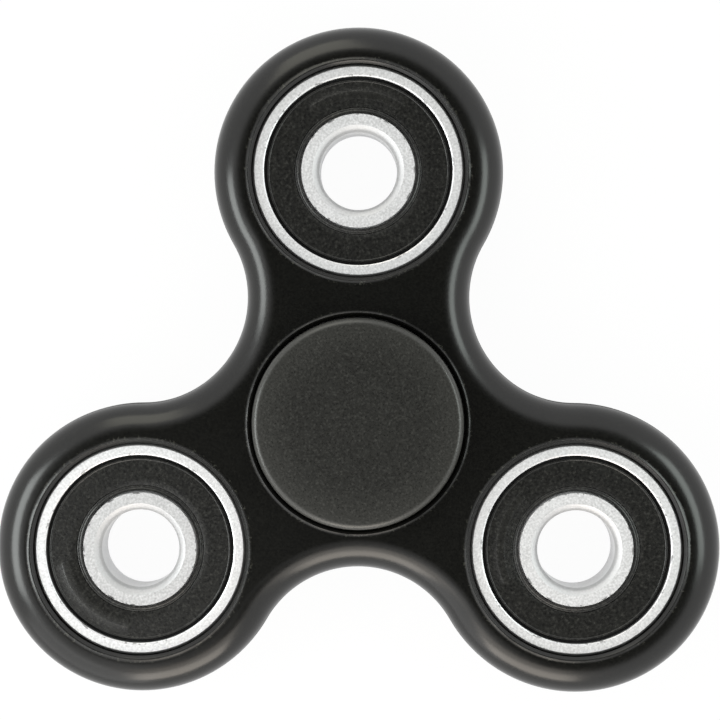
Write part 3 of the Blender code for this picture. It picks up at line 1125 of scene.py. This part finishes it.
class SPINNER_OT_insides(Operator):
    """Makes the balls and the pressed ribbon cages that the seals hide"""

    bl_idname = "spinner.insides"
    bl_label = "Cages and Balls"

    ball_cuts: IntProperty(name="Ball cuts", description="Cuts across each side of the cube", default=11)
    pocket_steps: IntProperty(name="Pocket steps", description="Facets over each ball pocket", default=16)

    def make_ball(self, bearing):
        """Rounds a finely cut cube into a ball."""
        clear_selection()
        bpy.ops.mesh.primitive_cube_add(size=bearing.ball_radius, enter_editmode=True)
        ball = bpy.context.object
        bpy.ops.mesh.subdivide(number_cuts=self.ball_cuts)
        bpy.ops.transform.tosphere(value=1)
        reach = max(vertex.co.length for vertex in bmesh.from_edit_mesh(ball.data).verts)
        grow = bearing.ball_radius / reach
        bpy.ops.transform.resize(value=(grow, grow, grow), center_override=ORIGIN)
        bpy.ops.transform.translate(value=(0, 0, MIDDLE))
        choose(ball)
        bpy.ops.object.shade_smooth()
        return ball

    def make_cage(self, bearing):
        """Draws the wave of the ribbon's inner edge, widens it outwards and gives it its thickness."""
        pocket = bearing.ball_radius + POCKET_CLEARANCE
        lean = math.asin(CAGE_FOOT / pocket)
        spots = []
        for number in range(BALL_COUNT):
            for step in range(self.pocket_steps + 1):
                lift = math.pi - lean - (math.pi - 2 * lean) * step / self.pocket_steps
                angle = ball_angle(number) + pocket * math.cos(lift) / ball_pitch(bearing)
                spots.append(polar(CAGE_INSIDE, angle, MIDDLE + pocket * math.sin(lift)))
        cage = start_point("ribbon_cage", spots[0])
        draw_line(spots[0], spots[1:] + spots[:1])
        merge_ends()
        wide = CAGE_OUTSIDE / CAGE_INSIDE
        bpy.ops.mesh.extrude_edges_move()
        bpy.ops.transform.resize(value=(wide, wide, 1), center_override=ORIGIN)
        merge_and_face_out()
        if sum(face.normal.z for face in bmesh.from_edit_mesh(cage.data).faces) < 0:
            bpy.ops.mesh.flip_normals()
        apply_modifier(cage, "SOLIDIFY", thickness=CAGE_SHEET, offset=1)
        apply_modifier(
            cage,
            "BEVEL",
            width=CAGE_SHEET * CAGE_EDGE_SHARE,
            segments=EDGE_STEPS,
            limit_method="ANGLE",
            angle_limit=CAGE_EDGE_ANGLE,
        )
        smooth(cage)
        return cage

    def execute(self, context):
        bearing = context.scene.spinner_bearing
        cage_finish = polished_steel("pressed_cage_steel", shade=0.55, roughness=0.3)
        ball_finish = polished_steel("polished_ball_steel", shade=0.8, roughness=0.06)
        ball = self.make_ball(bearing)
        cage = self.make_cage(bearing)
        for name, (spot, turn) in bearing_places(context).items():
            for side in SIDES:
                half = place_copy(cage, f"{name}_{side}_ribbon_cage", spot, turn, side == "lower")
                hand_over(half, cage_finish, name + "_cage", f"{name}_{side}_cage")
            for number in range(BALL_COUNT):
                there = spot + Vector(polar(ball_pitch(bearing), turn + ball_angle(number)))
                node = f"{name}_ball_{number + 1}"
                placed = place_copy(ball, f"{name}_steel_ball_{number + 1}", there, 0)
                hand_over(placed, ball_finish, node, node)
        remove(ball, cage)
        return {"FINISHED"}


class SPINNER_OT_stage(Operator):
    """Sets the white floor, the soft boxes, the pale tent round them and the camera above"""

    bl_idname = "spinner.stage"
    bl_label = "Stage"

    def execute(self, context):
        settings = context.scene.spinner_stage
        context.scene.view_settings.view_transform = "Standard"
        self.lay_floor(settings)
        self.set_tent(context.scene)
        for box in SOFT_BOXES:
            self.hang_box(*box)
        self.set_camera(context.scene, settings)
        return {"FINISHED"}

    def lay_floor(self, settings):
        """Lays a matte floor that reads as white while it keeps a faint shadow."""
        clear_selection()
        bpy.ops.mesh.primitive_plane_add(size=FLOOR_SIZE, location=(0, 0, -FLOOR_DROP))
        floor = bpy.context.object
        floor.name = "floor"
        finish = bpy.data.materials.new("white_floor")
        finish.use_nodes = True
        finish.node_tree.nodes.clear()
        wire = Wire(finish.node_tree)
        camera, glossy, through = [wire.node("ShaderNodeLightPath", output=ray) for ray in SEEN_RAYS]
        share = wire.maths("MINIMUM", camera + glossy + through, 1.0) * WHITE_SHARE
        matte = wire.node("ShaderNodeBsdfDiffuse", None, {"Color": (*settings.floor_colour, 1)})
        white = wire.node("ShaderNodeEmission", None, {"Color": WHITE, "Strength": 1.0})
        mixed = wire.node("ShaderNodeMixShader", None, {0: share, 1: matte, 2: white})
        wire.node("ShaderNodeOutputMaterial", None, {"Surface": mixed})
        floor.data.materials.append(finish)

    def set_tent(self, scene):
        """Surrounds the object with a pale tent that is open above, where the camera looks in."""
        world = bpy.data.worlds.new("light_tent")
        scene.world = world
        world.use_nodes = True
        world.node_tree.nodes.clear()
        wire = Wire(world.node_tree)
        direction = wire.node("ShaderNodeTexCoord", output="Generated")
        facing = {0: direction, 1: Vector(TENT_OPENING).normalized()}
        towards = wire.node("ShaderNodeVectorMath", {"operation": "DOT_PRODUCT"}, facing, "Value")
        glow = wire.node("ShaderNodeValToRGB", {"stops": TENT_GLOW}, {"Fac": towards}, "Color")
        lit = wire.node("ShaderNodeBackground", None, {"Color": glow, "Strength": 1.0})
        wire.node("ShaderNodeOutputWorld", None, {"Surface": lit})

    def hang_box(self, name, spot, size, radiance, colour):
        """Hangs a soft box that faces the object."""
        clear_selection()
        turn = (Vector(spot) - Vector(BOX_AIM)).to_track_quat("Z", "Y").to_euler()
        bpy.ops.object.light_add(type="AREA", location=spot, rotation=turn)
        box = bpy.context.object
        box.name = name
        box.data.shape = "RECTANGLE"
        box.data.size, box.data.size_y = size
        box.data.energy = radiance * math.pi * size[0] * size[1]
        box.data.color = colour

    def set_camera(self, scene, settings):
        clear_selection()
        bpy.ops.object.camera_add(location=settings.camera_spot, rotation=settings.camera_turn)
        camera = bpy.context.object
        camera.name = "camera_above"
        camera.data.lens = settings.camera_lens
        camera.data.sensor_width = SENSOR_WIDTH
        camera.data.clip_start = CLIP_START
        scene.camera = camera


class SPINNER_PT_panel(Panel):
    """Lists the pieces of the spinner and their settings"""

    bl_idname = "SPINNER_PT_panel"
    bl_label = "Fidget Spinner"
    bl_space_type = "VIEW_3D"
    bl_region_type = "UI"
    bl_category = "Spinner"

    def draw(self, context):
        layout = self.layout
        for operator in OPERATORS:
            layout.operator(operator.bl_idname)
        for name in SETTINGS:
            box = layout.box()
            group = getattr(context.scene, name)
            for prop in group.bl_rna.properties:
                if prop.identifier not in ("name", "rna_type"):
                    box.prop(group, prop.identifier)


SETTINGS = {
    "spinner_body": BodySettings,
    "spinner_caps": CapSettings,
    "spinner_bearing": BearingSettings,
    "spinner_stage": StageSettings,
}
OPERATORS = [
    SPINNER_OT_body,
    SPINNER_OT_caps,
    SPINNER_OT_rings,
    SPINNER_OT_seals,
    SPINNER_OT_insides,
    SPINNER_OT_stage,
]
CLASSES = [*SETTINGS.values(), *OPERATORS, SPINNER_PT_panel]


def register():
    for group in CLASSES:
        bpy.utils.register_class(group)
    for name, group in SETTINGS.items():
        setattr(bpy.types.Scene, name, PointerProperty(type=group))


def unregister():
    for name in SETTINGS:
        delattr(bpy.types.Scene, name)
    for group in reversed(CLASSES):
        bpy.utils.unregister_class(group)


def main():
    register()
    bpy.ops.spinner.stage()
    bpy.ops.spinner.body()
    bpy.ops.spinner.caps()
    bpy.ops.spinner.rings()
    bpy.ops.spinner.seals()
    bpy.ops.spinner.insides()
    clear_selection()


if __name__ == "__main__":
    main()
